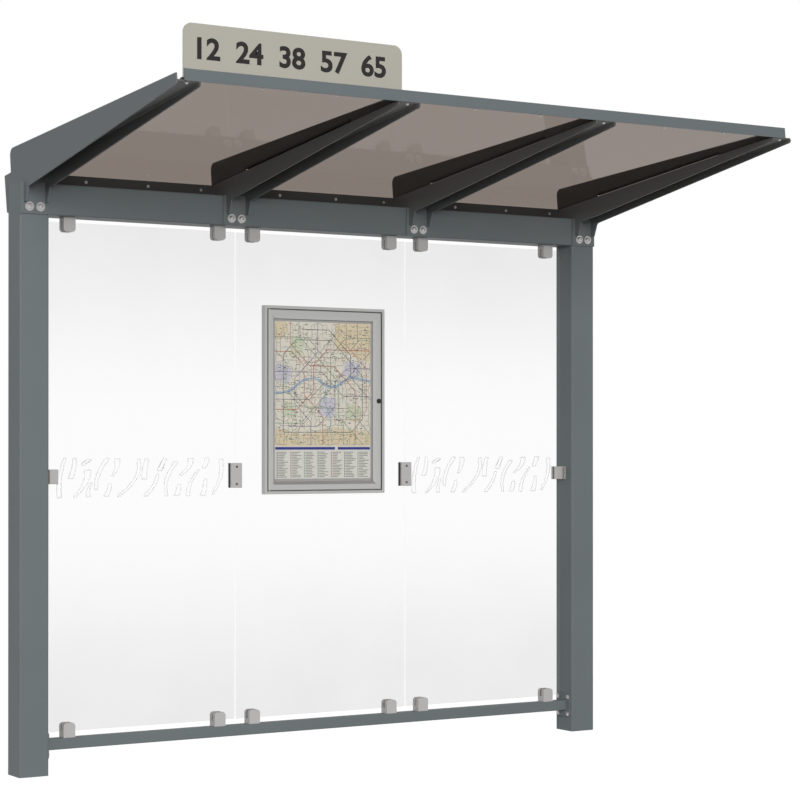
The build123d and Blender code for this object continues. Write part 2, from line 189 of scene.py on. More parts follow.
def screw_group():
    """A round-headed screw with a hexagon socket and a flange or washer, on each point."""
    tree, given = node_group(
        "Socket screw", Facing="Vector", Washer_radius="Float", Washer_thickness="Float",
        Head_radius="Float", Head_height="Float", Socket_radius="Float", Finish="Material")
    disc = add(tree, "GeometryNodeMeshCircle", {"Vertices": 24, "Radius": given["Washer radius"]},
               fill_type="NGON")
    under = add(tree, "GeometryNodeFlipFaces", {"Mesh": disc.outputs["Mesh"]})
    shape, radius = disc.outputs["Mesh"], given["Washer radius"]
    # Each step lifts the top face by a share of a height, then narrows it to a share of a radius.
    steps = (
        ("Washer thickness", 0.7, "Washer radius", 1), ("Washer thickness", 0.3, "Washer radius", 0.95),
        ("Washer thickness", 0, "Head radius", 1), ("Head height", 0.6, "Head radius", 0.98),
        ("Head height", 0.27, "Head radius", 0.86), ("Head height", 0.13, "Head radius", 0.66),
        ("Head height", 0, "Socket radius", 1), ("Head height", -0.65, "Socket radius", 0.9))
    chosen = None
    for height, lift, width, share in steps:
        rise = add(tree, "ShaderNodeMath", {0: given[height], 1: lift}, operation="MULTIPLY")
        offset = add(tree, "ShaderNodeCombineXYZ", {"Z": rise.outputs["Value"]})
        lifted = add(tree, "GeometryNodeExtrudeMesh", {
            "Mesh": shape, "Offset": offset.outputs["Vector"], "Individual": False}, mode="FACES")
        if chosen is not None:
            tree.links.new(chosen, lifted.inputs["Selection"])
        reach = add(tree, "ShaderNodeMath", {0: given[width], 1: share}, operation="MULTIPLY")
        ratio = add(tree, "ShaderNodeMath", {0: reach.outputs["Value"], 1: radius}, operation="DIVIDE")
        narrowed = add(tree, "GeometryNodeScaleElements", {
            "Geometry": lifted.outputs["Mesh"], "Selection": lifted.outputs["Top"],
            "Scale": ratio.outputs["Value"]}, domain="FACE")
        shape, radius, chosen = narrowed.outputs["Geometry"], reach.outputs["Value"], lifted.outputs["Top"]
    closed = closed_shape(tree, shape, under.outputs["Mesh"])
    # The points at the socket's radius or inside it are drawn in to a hexagon.
    spot = add(tree, "ShaderNodeSeparateXYZ", {"Vector": add(tree, "GeometryNodeInputPosition").outputs[0]})
    turn = add(tree, "ShaderNodeMath", {0: spot.outputs["Y"], 1: spot.outputs["X"]}, operation="ARCTAN2")
    sector = add(tree, "ShaderNodeMath", {0: turn.outputs["Value"], 1: pi / 3}, operation="FLOORED_MODULO")
    off_flat = add(tree, "ShaderNodeMath", {0: sector.outputs["Value"], 1: pi / 6}, operation="SUBTRACT")
    slant = add(tree, "ShaderNodeMath", {0: off_flat.outputs["Value"]}, operation="COSINE")
    squeeze = add(tree, "ShaderNodeMath", {0: cos(pi / 6), 1: slant.outputs["Value"]}, operation="DIVIDE")
    across = add(tree, "ShaderNodeCombineXYZ", {
        "X": squeeze.outputs["Value"], "Y": squeeze.outputs["Value"], "Z": 1})
    flat_spot = add(tree, "ShaderNodeCombineXYZ", {"X": spot.outputs["X"], "Y": spot.outputs["Y"]})
    distance = add(tree, "ShaderNodeVectorMath", {0: flat_spot.outputs["Vector"]}, operation="LENGTH")
    bound = add(tree, "ShaderNodeMath", {0: given["Socket radius"], 1: 1.02}, operation="MULTIPLY")
    inside = add(tree, "ShaderNodeMath", {0: distance.outputs["Value"], 1: bound.outputs["Value"]},
                 operation="LESS_THAN")
    moved = add(tree, "ShaderNodeVectorMath", {
        0: add(tree, "GeometryNodeInputPosition").outputs[0], 1: across.outputs["Vector"]},
        operation="MULTIPLY")
    screw = add(tree, "GeometryNodeSetPosition", {
        "Geometry": closed, "Selection": inside.outputs["Value"],
        "Position": moved.outputs["Vector"]})
    angle = add(tree, "FunctionNodeEulerToRotation", {"Euler": given["Facing"]})
    placed = add(tree, "GeometryNodeInstanceOnPoints", {
        "Points": given["Geometry"], "Instance": screw.outputs["Geometry"],
        "Rotation": angle.outputs["Rotation"]})
    # Each screw stops at its own angle when it is tight.
    stop = add(tree, "FunctionNodeRandomValue", {"Min": 0.0, "Max": pi / 3, "Seed": 5}, data_type="FLOAT")
    stopped = add(tree, "ShaderNodeCombineXYZ")
    tree.links.new(live(stop), stopped.inputs["Z"])
    about = add(tree, "FunctionNodeEulerToRotation", {"Euler": stopped.outputs["Vector"]})
    turned = add(tree, "GeometryNodeRotateInstances", {
        "Instances": placed.outputs["Instances"], "Rotation": about.outputs["Rotation"],
        "Local Space": True})
    close_group(tree, turned.outputs["Instances"], given["Finish"])
    return tree


def drawn_metal(name, light, dark, roughness, grain, bare=1.0):
    """Metal whose tone and gloss vary over a real grain in metres. Bare is its share free of oxide."""
    finish, tree = bare_finish(name)
    place, speck = speckle(tree, grain, 3)
    gloss = add(tree, "ShaderNodeMapRange", {
        "Value": speck, "To Min": roughness - 0.06, "To Max": roughness + 0.06})
    relief = add(tree, "ShaderNodeBump", {"Height": speck, "Strength": 0.08, "Distance": 0.1 * mm})
    shader = add(tree, "ShaderNodeBsdfPrincipled", {
        "Base Color": blend(tree, speck, linear(dark), linear(light)),
        "Roughness": gloss.outputs["Result"],
        "Normal": relief.outputs["Normal"], "Metallic": bare})
    add(tree, "ShaderNodeOutputMaterial", {"Surface": shader.outputs["BSDF"]})
    return finish


# Cold-forged A2 stainless steel, tumbled after forging: bright, with a soft edge to its highlights.
stainless = drawn_metal("Forged stainless steel", "#D4D3D2", "#C4C3C1", 0.34, 4 * mm, 0.8)
screws = screw_group()


def drive(name, seats, facing, washer, head, socket, finish=stainless):
    """Screws of one kind. Washer and head are a radius and a height in millimetres, the socket a radius."""
    piece = worked(
        name, screws, seats, Facing=facing, Washer_radius=washer[0] * mm, Washer_thickness=washer[1] * mm,
        Head_radius=head[0] * mm, Head_height=head[1] * mm, Socket_radius=socket * mm, Finish=finish)
    fit(piece, "shelter")


coat(grey_powder, "rail_flange_left", "rail_flange_right")
flange_hole_edge = 12 * mm
for side, inward in (("left", 1), ("right", -1)):
    low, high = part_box("rail_flange_" + side)
    seat_x = high.x if inward > 0 else low.x
    seats = [(seat_x, y, z)
             for y in (low.y + flange_hole_edge, high.y - flange_hole_edge)
             for z in (low.z + flange_hole_edge, high.z - flange_hole_edge)]
    drive(f"flange_screws_{side}", seats, (0, inward * pi / 2, 0), (8.5, 1.2), (6.6, 3.6), 2.6)

# ---- Glass panes and the printed band ----
# Three panes of 8 mm toughened glass with ground edges hang between beam and rail.
# The outer two carry a band of pale outlines, screen printed in enamel and fired in,
# so that nobody walks into them.


def filmed(tree, tint, cover, skin):
    """What lets this tint through where the skin doesn't cover it."""
    through = add(tree, "ShaderNodeBsdfTransparent", {"Color": linear(tint)})
    return add(tree, "ShaderNodeMixShader", {
        0: cover.outputs["Result"], 1: through.outputs["BSDF"], 2: skin.outputs["BSDF"]}).outputs["Shader"]


def clear_sheet(name, tint, film, share, roughness, ior, cloud_size):
    """A sheet to see through: one face lets this tint through, under a thin film of that colour."""
    finish, tree = bare_finish(name)
    place, smear = speckle(tree, cloud_size, 3)
    gloss = add(tree, "ShaderNodeMapRange", {
        "Value": smear, "To Min": roughness, "To Max": roughness + 0.08})
    cover = add(tree, "ShaderNodeMapRange", {"Value": smear, "To Min": 0.8 * share, "To Max": 1.2 * share})
    skin = add(tree, "ShaderNodeBsdfPrincipled", {
        "Base Color": linear(film), "Roughness": gloss.outputs["Result"], "IOR": ior})
    sheet = filmed(tree, tint, cover, skin)
    # Dust leaves about a seventh of the mirror image that a clean sheet shows, on its outside alone.
    dusty_shine = 0.15
    outside = add(tree, "ShaderNodeMath", {
        0: dusty_shine, 1: add(tree, "ShaderNodeNewGeometry").outputs["Backfacing"]}, operation="SUBTRACT")
    grazing = add(tree, "ShaderNodeFresnel", {"IOR": ior})
    shine = add(tree, "ShaderNodeMath", {0: outside.outputs["Value"], 1: grazing.outputs["Fac"]},
                operation="MULTIPLY", use_clamp=True)
    mirror = add(tree, "ShaderNodeBsdfAnisotropic", {"Color": linear("#FFFFFF"), "Roughness": roughness})
    polished = add(tree, "ShaderNodeMixShader", {
        0: shine.outputs["Value"], 1: sheet, 2: mirror.outputs["BSDF"]})
    add(tree, "ShaderNodeOutputMaterial", {"Surface": polished.outputs["Shader"]})
    return finish


def street_glass(name, tint, film_colour, ground_edge):
    """Clear glass with ground edges, under a grey film that is thickest near foot and head."""
    finish, tree = bare_finish(name)
    coords = add(tree, "ShaderNodeTexCoord").outputs
    height = add(tree, "ShaderNodeSeparateXYZ", {"Vector": coords["Object"]}).outputs["Z"]
    # The film thins out up to about 950 mm, and thickens again from 1250 mm up to the beam.
    foot_film = add(tree, "ShaderNodeMapRange", {
        "Value": height, "From Min": 150 * mm, "From Max": 950 * mm, "To Min": 0.12, "To Max": 0.01},
        interpolation_type="SMOOTHSTEP")
    head_film = add(tree, "ShaderNodeMapRange", {
        "Value": height, "From Min": 1250 * mm, "From Max": 1950 * mm, "To Min": 0.0, "To Max": 0.09},
        interpolation_type="SMOOTHSTEP")
    both = add(tree, "ShaderNodeMath", {0: foot_film.outputs["Result"], 1: head_film.outputs["Result"]},
               operation="ADD")
    wiped = add(tree, "ShaderNodeTexNoise", {
        "Vector": coords["Object"], "Scale": 1 / (350 * mm), "Detail": 3})
    uneven = add(tree, "ShaderNodeMapRange", {
        "Value": wiped.outputs["Fac"], "To Min": 0.75, "To Max": 1.25})
    film = add(tree, "ShaderNodeMath", {0: both.outputs["Value"], 1: uneven.outputs["Result"]},
               operation="MULTIPLY")
    # The edges are ground: they scatter a little of the light and carry no film of their own.
    side = add(tree, "ShaderNodeSeparateXYZ", {"Vector": coords["Normal"]}).outputs["Y"]
    facing = add(tree, "ShaderNodeMath", {0: side}, operation="ABSOLUTE")
    is_face = add(tree, "ShaderNodeMath", {0: facing.outputs["Value"], 1: 0.5}, operation="GREATER_THAN")
    cover = add(tree, "ShaderNodeMix", {
        "Factor": is_face.outputs["Value"], "A": 0.05, "B": film.outputs["Value"]}, data_type="FLOAT")
    colour = blend(tree, is_face.outputs["Value"], linear(ground_edge), linear(film_colour))
    skin = add(tree, "ShaderNodeBsdfPrincipled", {"Base Color": colour, "Roughness": 0.35, "IOR": 1.52})
    add(tree, "ShaderNodeOutputMaterial", {"Surface": filmed(tree, tint, cover, skin)})
    return finish


# Float glass is polished by the molten tin it is drawn over. A little green shows in its edges.
float_glass = street_glass("Toughened float glass", "#FEFEFE", "#939393", "#F4F6F4")
coat(float_glass, "glass_pane_1", "glass_pane_2", "glass_pane_3")


def rounded_path(tree, given):
    """The given runs of lines as curves, with their corners rounded."""
    path = add(tree, "GeometryNodeMeshToCurve", {"Mesh": given["Geometry"]})
    return add(tree, "GeometryNodeFilletCurve", {
        "Curve": path.outputs["Curve"], "Radius": given["Corner radius"], "Limit Radius": True, "Count": 4},
        mode="POLY").outputs["Curve"]


def drawn_along(tree, given, path):
    """A flat line of the given width and thickness along a curve."""
    upright = add(tree, "GeometryNodeSetCurveNormal", {"Curve": path}, mode="Z_UP")
    section = add(tree, "GeometryNodeCurvePrimitiveQuadrilateral", {
        "Width": given["Line width"], "Height": given["Ink thickness"]}, mode="RECTANGLE")
    return add(tree, "GeometryNodeCurveToMesh", {
        "Curve": upright.outputs["Curve"], "Profile Curve": section.outputs["Curve"],
        "Fill Caps": True}).outputs["Mesh"]


def line_group():
    """A flat printed line of even width along each run of lines, with its corners rounded."""
    tree, given = node_group(
        "Printed line", Line_width="Float", Ink_thickness="Float", Corner_radius="Float",
        Finish="Material")
    close_group(tree, drawn_along(tree, given, rounded_path(tree, given)), given["Finish"])
    return tree


def stand_up(piece, x, y, z):
    """Takes a piece drawn flat on the ground to an upright face that looks forward."""
    piece.data.transform(Matrix.Translation((x, y, z)) @ Matrix.Rotation(pi / 2, 4, "X"))


def satin_ink(name, light, dark, patch):
    """A dull printed or painted film, a little uneven over a patch of this size in metres."""
    finish, tree = bare_finish(name)
    place, uneven = speckle(tree, patch, 3)
    shader = add(tree, "ShaderNodeBsdfPrincipled", {
        "Base Color": blend(tree, uneven, linear(dark), linear(light)), "Roughness": 0.55})
    add(tree, "ShaderNodeOutputMaterial", {"Surface": shader.outputs["BSDF"]})
    return finish


printed_lines = line_group()
# Enamel ink is ground glass and pigment: dull and slightly rough beside the bare glass.
enamel = satin_ink("Fired enamel print, pale grey", "#FCFCFC", "#F8F8F8", 30 * mm)
band_low, band_margin = 975 * mm, 28 * mm
print_gap, enamel_thickness = 0.08 * mm, 0.12 * mm
# Each outline is a blade from one end to the other, in millimetres from the band's lower left
# corner: its two ends, how far its middle bends to the right, and its half width at each end.
blades = (
    (8, 2, 30, 142, -9, 9, 5), (52, 70, 66, 142, 5, 10, 6), (64, 2, 118, 100, 16, 5, 13),
    (96, 118, 128, 138, 0, 9, 11), (120, 4, 132, 56, -5, 8, 3), (150, 30, 196, 142, -14, 6, 9),
    (188, 4, 204, 50, 4, 9, 6), (214, 78, 232, 140, 8, 4, 12), (236, 3, 318, 138, 30, 6, 7),
    (340, 66, 352, 140, -4, 11, 8), (344, 4, 394, 84, 10, 9, 5),
    (402, 96, 424, 142, 0, 10, 7), (430, 4, 470, 128, -20, 5, 9), (470, 4, 480, 44, 3, 10, 8),
    (484, 78, 528, 140, 14, 6, 12), (516, 3, 562, 100, -12, 8, 4), (580, 104, 596, 142, 3, 8, 11),
    (576, 4, 588, 66, 4, 11, 5), (618, 8, 652, 138, 16, 5, 9))
share_steps = (0.0, 0.25, 0.5, 0.75, 1.0)
for number in (1, 3):
    low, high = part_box(f"glass_pane_{number}")
    points, lines = [], []
    for x0, z0, x1, z1, bend, half_foot, half_head in blades:
        start = len(points)
        for side, shares in ((-1, share_steps), (1, share_steps[::-1])):
            for share in shares:
                half_width = half_foot + (half_head - half_foot) * share
                across = x0 + (x1 - x0) * share + bend * 4 * share * (1 - share) + side * half_width
                points.append((across * mm, (z0 + (z1 - z0) * share) * mm, 0))
        outline = 2 * len(share_steps)
        lines += [(start + i, start + (i + 1) % outline) for i in range(outline)]
    band = worked(
        f"printed_band_{number}", printed_lines, points, lines, Line_width=3.6 * mm,
        Ink_thickness=enamel_thickness, Corner_radius=2.5 * mm, Finish=enamel)
    stand_up(band, low.x + band_margin, low.y - print_gap, band_low)
    fit(band, "shelter")

# ---- Glass clamps ----
# Cast zinc blocks, tumbled and left matt, are screwed to the rail and under the beam.
# Plates clamp the panes' edges together half way up, and a lug holds each end pane to its post.
cast_zinc = drawn_metal("Satin cast zinc", "#C4C2C1", "#BAB8B7", 0.5, 6 * mm, 0.3)
clamps = [f"{level}_clamp_{i}" for level in ("bottom", "top") for i in range(1, 7)]
middle_clamps = ["middle_clamp_1", "middle_clamp_2"]
coat(cast_zinc, *clamps, "post_clamp_left", "post_clamp_right")


def backed_zinc(name, metal, rubber):
    """A cast zinc plate in front of the glass, and a plate behind it under a skin of black rubber."""
    finish, tree = bare_finish(name)
    place, speck = speckle(tree, 6 * mm, 3)
    rubber_front = -4.2 * mm
    depth = add(tree, "ShaderNodeSeparateXYZ", {"Vector": place}).outputs["Y"]
    behind = add(tree, "ShaderNodeMath", {0: depth, 1: rubber_front}, operation="GREATER_THAN")
    bare = add(tree, "ShaderNodeMapRange", {"Value": behind.outputs["Value"], "To Min": 0.3, "To Max": 0.0})
    gloss = add(tree, "ShaderNodeMapRange", {"Value": speck, "To Min": 0.44, "To Max": 0.56})
    shader = add(tree, "ShaderNodeBsdfPrincipled", {
        "Base Color": blend(tree, behind.outputs["Value"], linear(metal), linear(rubber)),
        "Roughness": gloss.outputs["Result"], "Metallic": bare.outputs["Result"]})
    add(tree, "ShaderNodeOutputMaterial", {"Surface": shader.outputs["BSDF"]})
    return finish


coat(backed_zinc("Cast zinc, rubber behind the glass", "#BFBCBC", "#3E3D3E"), *middle_clamps)
# Blackened steel: the oxide film is thin, dark and slightly oily.
black_steel = drawn_metal("Blackened steel screw", "#6B6A6C", "#565558", 0.42, 3 * mm)
middle_screw_rise = 32 * mm
seats = []
for name in middle_clamps:
    low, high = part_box(name)
    centre = (low + high) / 2
    seats += [(centre.x, low.y, centre.z + side * middle_screw_rise) for side in (-1, 1)]
countersunk = ((4.6, 0.25), (4.2, 0.5), 2.3, black_steel)
drive("middle_clamp_screws", seats, (pi / 2, 0, 0), *countersunk)
# A grub screw in each block's back presses the pane against the front jaw.
grub_from_mouth = 22 * mm
seats = []
for name in clamps:
    low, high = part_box(name)
    seats.append((
        (low.x + high.x) / 2, high.y,
        high.z - grub_from_mouth if name.startswith("bottom") else low.z + grub_from_mouth))
drive("clamp_grub_screws", seats, (-pi / 2, 0, 0), *countersunk)
# Each lug is screwed to its post through the thin flange in front of the glass.
post_screw_rise, flange_thickness, screw_set_back = 12 * mm, 4 * mm, 7 * mm
for side, inward in (("left", 1), ("right", -1)):
    low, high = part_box("post_clamp_" + side)
    flange_x = low.x + flange_thickness if inward > 0 else high.x - flange_thickness
    seats = [(flange_x, low.y + screw_set_back, (low.z + high.z) / 2 + up * post_screw_rise)
             for up in (-1, 1)]
    drive(f"post_clamp_screws_{side}", seats, (0, inward * pi / 2, 0), (4.6, 0.6), (4.1, 2.4), 1.8)

# ---- Roof arms and their bolts ----
# Each arm is one steel sheet, laser cut and folded to a channel, with its left side standing
# on as a fin. Two M12 bolts go right through post or beam and clamp its saddle plates.
arms = [f"roof_arm_{i}" for i in range(1, 5)]
# Painted shade: the arms are painted darker above 2 m, for the shade of the roof over them. The first arm's
# outer face, out in the open, gets none.
arm_powder_with_painted_shade = powder_coat("Powder coated steel, sooty", "#727879", "#6B7273", "#595654")
coat(arm_powder_with_painted_shade, *arms[1:])
first_fin_inside = -39 * mm
coat(powder_coat("Powder coated steel, sooty inside", "#6D7375", "#666D6F", "#5A5755", first_fin_inside),
     arms[0])
bolt_half_spacing, bolt_height = 20.5 * mm, 2001 * mm
arm_places = [0] + [(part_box(arm)[0].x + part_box(arm)[1].x) / 2 for arm in arms[1:]]
saddle_front, saddle_back = -60 * mm, 60 * mm
seats = [(x + side * bolt_half_spacing, saddle_front, bolt_height) for x in arm_places for side in (-1, 1)]
drive("arm_bolts", seats, (pi / 2, 0, 0), (16.5, 2.5), (10, 8), 5.4)


def nut_group():
    """A hexagon nut on its washer, with the thread's end standing out of it, on each point."""
    tree, given = node_group(
        "Nut and washer", Facing="Vector", Washer_radius="Float", Washer_thickness="Float",
        Nut_radius="Float", Nut_height="Float", Thread_radius="Float", Finish="Material")
    whole = add(tree, "GeometryNodeJoinGeometry")
    foot = add(tree, "ShaderNodeValue").outputs["Value"]
    for radius, height, sides, stretch in (
            ("Washer radius", "Washer thickness", 24, 1), ("Nut radius", "Nut height", 6, 1),
            ("Thread radius", "Nut height", 16, 0.35)):
        depth = add(tree, "ShaderNodeMath", {0: given[height], 1: stretch}, operation="MULTIPLY")
        body = add(tree, "GeometryNodeMeshCylinder", {
            "Vertices": sides, "Radius": given[radius], "Depth": depth.outputs["Value"]})
        middle = add(tree, "ShaderNodeMath", {0: depth.outputs["Value"], 1: 0.5, 2: foot},
                     operation="MULTIPLY_ADD")
        lift = add(tree, "ShaderNodeCombineXYZ", {"Z": middle.outputs["Value"]})
        set_on = add(tree, "GeometryNodeTransform", {
            "Geometry": body.outputs["Mesh"], "Translation": lift.outputs["Vector"]})
        tree.links.new(set_on.outputs["Geometry"], whole.inputs["Geometry"])
        foot = add(tree, "ShaderNodeMath", {0: foot, 1: depth.outputs["Value"]},
                   operation="ADD").outputs["Value"]
    angle = add(tree, "FunctionNodeEulerToRotation", {"Euler": given["Facing"]})
    placed = add(tree, "GeometryNodeInstanceOnPoints", {
        "Points": given["Geometry"], "Instance": whole.outputs["Geometry"],
        "Rotation": angle.outputs["Rotation"]})
    close_group(tree, placed.outputs["Instances"], given["Finish"])
    return tree


seats = [(x, saddle_back, z) for x, y, z in seats]
arm_nuts = worked(
    "arm_nuts", nut_group(), seats, Facing=(-pi / 2, 0, 0), Washer_radius=16.5 * mm,
    Washer_thickness=2.5 * mm, Nut_radius=10.6 * mm, Nut_height=10 * mm, Thread_radius=6 * mm,
    Finish=stainless)
fit(arm_nuts, "shelter")

# ---- Roof sheets, fascia and rear ledges ----
# Three sheets of smoked acrylic lie on the arms, held at the front by a folded steel fascia
# and at the back by folded ledges on the beam. Small rivets and screws pin the edges, and a
# black bar in the slot of each fin is painted shade.

# Cast acrylic is polished on both faces, and its brown-grey dye darkens what is seen through it.
smoked_acrylic = clear_sheet("Smoked acrylic", "#BEB7B2", "#5C5653", 0.05, 0.03, 1.49, 250 * mm)
coat(smoked_acrylic, "roof_sheet_1", "roof_sheet_2", "roof_sheet_3")
# The ledges are folded aluminium. Their dark coat is painted shade, for the shade they stand in under the
# roof's back edge.
ledge_powder_in_painted_shade = powder_coat("Powder coated aluminium, black", "#444443", "#3C3C3B")
coat(ledge_powder_in_painted_shade, "rear_ledge_1", "rear_ledge_2", "rear_ledge_3")
# The fascia's coat is drawn a little darker than the posts'.
darker_grey_powder = powder_coat("Powder coated steel, darker grey", "#676D6F", "#60676A")
coat(darker_grey_powder, "front_fascia")
roof_angle, web_top = radians(6.4), 2136.4 * mm
sheet_thickness = 5 * mm


def on_roof(x, along, above):
    """A point of the roof: so far along its slope from the beam, and so far square above the webs."""
    return Vector((x, -along * cos(roof_angle) + above * sin(roof_angle),
                   web_top + along * sin(roof_angle) + above * cos(roof_angle)))


# The rivets between the arms hold the sheets, and those on the arms sit under the arms' plates.
bay, arm_sheet = arm_places[2] - arm_places[1], 5 * mm
fascia_line, ledge_line, ledge_screw_height = 1252 * mm, 47 * mm, 2111 * mm
seats = [on_roof(x + share * bay, fascia_line, 0) for x in arm_places[:3] for share in (1 / 3, 2 / 3)]
seats += [on_roof(x, fascia_line, -arm_sheet) for x in arm_places]
drive("fascia_rivets", seats, (pi - roof_angle, 0, 0), (6, 1), (4.5, 3.5), 1.5)
past_the_arm = (241 * mm, 487 * mm, 704 * mm)
seats = [(x + place, ledge_line, ledge_screw_height) for x in arm_places[:3] for place in past_the_arm]
drive("ledge_screws", seats, (pi / 2, 0, 0), (6, 1), (4.5, 3), 1.8)


def bar_between(name, start, end, width, height, finish):
    """A square-cut bar from one point to another, of this width along X and this height across it."""
    along = (end - start).normalized()
    up = Vector((1, 0, 0)).cross(along).normalized()
    sides = [Vector((x * width / 2, 0, 0)) + up * (z * height / 2)
             for x, z in ((-1, -1), (1, -1), (1, 1), (-1, 1))]
    corners = [p + side for p in (start, end) for side in sides]
    mesh = bpy.data.meshes.new(name)
    mesh.from_pydata([tuple(c) for c in corners], [], [
        (0, 1, 2, 3), (7, 6, 5, 4), (0, 4, 5, 1), (1, 5, 6, 2), (2, 6, 7, 3), (3, 7, 4, 0)])
    mesh.materials.append(finish)
    bar = bpy.data.objects.new(name, mesh)
    scene.collection.objects.link(bar)
    return bar


# Extruded rubber, matt and nearly black. A bar of it lies on each sheet's edge, through the fin's slot, as
# painted shade for the shade inside the slot.
black_rubber_and_slot_shade = satin_ink("Seal rubber, black", "#1C1B1B", "#141313", 10 * mm)
shade_bar_from_middle, bar_and_seal_width, shade_bar_height, shade_bar_gap = 38.5 * mm, 15 * mm, 6.6 * mm, 0.1 * mm
slot_from, slot_to = 213 * mm, 959 * mm
for number, x in enumerate(arm_places[1:], start=1):
    middle_x = x - shade_bar_from_middle
    middle_height = sheet_thickness + shade_bar_gap + shade_bar_height / 2
    shade_bar = bar_between(
        f"slot_seal_{number}", on_roof(middle_x, slot_from, middle_height),
        on_roof(middle_x, slot_to, middle_height), bar_and_seal_width, shade_bar_height, black_rubber_and_slot_shade)
    fit(shade_bar, "shelter")

# ---- Name board ----
# A 3 mm aluminium plate, folded at its foot, stands behind the fascia. It is coated in a pale
# sand grey, and its characters are cut from black film. Plain numbers stand on it.
sand_coat = powder_coat("Powder coated plate, sand grey", "#AAA69C", "#A29F95")
coat(sand_coat, "name_board")
# Cut vinyl film is thin, even and a little glossier than the plate under it.
black_film = satin_ink("Cut vinyl film, black", "#1A1716", "#141110", 60 * mm)
low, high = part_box("name_board")
number_height, number_left, number_right, number_foot = 71 * mm, 31 * mm, 709 * mm, 2343 * mm
# The letters are drawn 1 m high, a little bold and 6 mm deep. As cut film they are 0.3 mm deep.
letter_size, boldness, half_depth, depth_left = 1, 0.03, 0.003, 0.05
film_gap = 0.15 * mm
words = bpy.data.curves.new("numbers", "FONT")
words.body = "12  24  38  57  65"
words.size = letter_size
words.offset = boldness
words.extrude = half_depth
flat = bpy.data.objects.new("numbers_flat", words)
scene.collection.objects.link(flat)
mesh = bpy.data.meshes.new_from_object(flat.evaluated_get(bpy.context.evaluated_depsgraph_get()))
bpy.data.objects.remove(flat)
numbers = bpy.data.objects.new("board_numbers", mesh)
scene.collection.objects.link(numbers)
spots = [v.co.copy() for v in mesh.vertices]
left, right = min(p.x for p in spots), max(p.x for p in spots)
foot, head = min(p.y for p in spots), max(p.y for p in spots)
mesh.transform(Matrix.Translation((-left, -foot, 0)))
mesh.transform(Matrix.Diagonal((
    (number_right - number_left) / (right - left), number_height / (head - foot), depth_left, 1)))
mesh.materials.clear()
mesh.materials.append(black_film)
stand_up(numbers, number_left, low.y - film_gap, number_foot)
fit(numbers, "shelter")

# ---- Poster case ----
# The rim and the door are aluminium sections, mitred and silver anodised. Behind the door a
# paper poster is held on a board by two snap strips.

# Anodising leaves a fine satin sheen along the direction in which the section was drawn.
anodised = drawn_metal("Silver anodised aluminium", "#C8C8C7", "#BFBFBE", 0.45, 3 * mm, 0.7)
coat(anodised, "case_frame", "door_frame", "case_back")
# The board and the strips are moulded or laminated plastic and dull. Their grey is darkened as painted
# shade, for the shadow of the door frame on them.
board_with_painted_shade = satin_ink("Laminated backing board, painted shade", "#B6B5B2", "#AFAEAB", 120 * mm)
coat(board_with_painted_shade, "backing_board")
strips_with_painted_shade = satin_ink("Moulded strip, grey with painted shade", "#AEACA9", "#A6A4A1", 40 * mm)
coat(strips_with_painted_shade, "poster_strips")
# Clear cast acrylic, hazed a little by cleaning.
clear_acrylic = clear_sheet("Clear acrylic glazing", "#FEFEFE", "#A9ABA9", 0.02, 0.1, 1.49, 120 * mm)
coat(clear_acrylic, "door_glazing")


def area_group():
    """A flat printed area inside each closed run of lines, with its corners rounded."""
    tree, given = node_group(
        "Printed area", Ink_thickness="Float", Corner_radius="Float", Finish="Material")
    filled = add(tree, "GeometryNodeFillCurve", {"Curve": rounded_path(tree, given)}, mode="NGONS")
    under = add(tree, "GeometryNodeFlipFaces", {"Mesh": filled.outputs["Mesh"]})
    rise = add(tree, "ShaderNodeCombineXYZ", {"Z": given["Ink thickness"]})
    lifted = add(tree, "GeometryNodeExtrudeMesh", {
        "Mesh": filled.outputs["Mesh"], "Offset": rise.outputs["Vector"], "Individual": False},
        mode="FACES")
    close_group(tree, closed_shape(tree, lifted.outputs["Mesh"], under.outputs["Mesh"]), given["Finish"])
    return tree


def street_group():
    """An uneven net of printed streets on each point: a grid whose corners have strayed."""
    tree, given = node_group(
        "Street net", Width="Float", Height="Float", Columns="Int", Rows="Int", Stray="Float",
        Left_out="Float", Line_width="Float", Ink_thickness="Float", Seed="Int", Finish="Material")
    grid = add(tree, "GeometryNodeMeshGrid", {
        "Size X": given["Width"], "Size Y": given["Height"], "Vertices X": given["Columns"],
        "Vertices Y": given["Rows"]})
    back = add(tree, "ShaderNodeMath", {0: given["Stray"], 1: -1.0}, operation="MULTIPLY")
    ends = [add(tree, "ShaderNodeCombineXYZ", {"X": reach, "Y": reach}).outputs["Vector"]
            for reach in (back.outputs["Value"], given["Stray"])]
    wander = add(tree, "FunctionNodeRandomValue", {"Min": ends[0], "Max": ends[1], "Seed": given["Seed"]},
                 data_type="FLOAT_VECTOR")
    strayed = add(tree, "GeometryNodeSetPosition", {"Geometry": grid.outputs["Mesh"]})
    tree.links.new(live(wander), strayed.inputs["Offset"])
    gone = add(tree, "FunctionNodeRandomValue", {"Probability": given["Left out"], "Seed": given["Seed"]},
               data_type="BOOLEAN")
    kept = add(tree, "GeometryNodeDeleteGeometry", {"Geometry": strayed.outputs["Geometry"]},
               domain="EDGE", mode="EDGE_FACE")
    tree.links.new(live(gone), kept.inputs["Selection"])
    path = add(tree, "GeometryNodeMeshToCurve", {"Mesh": kept.outputs["Geometry"]})
    placed = add(tree, "GeometryNodeInstanceOnPoints", {
        "Points": given["Geometry"], "Instance": drawn_along(tree, given, path.outputs["Curve"])})
    close_group(tree, placed.outputs["Instances"], given["Finish"])
    return tree


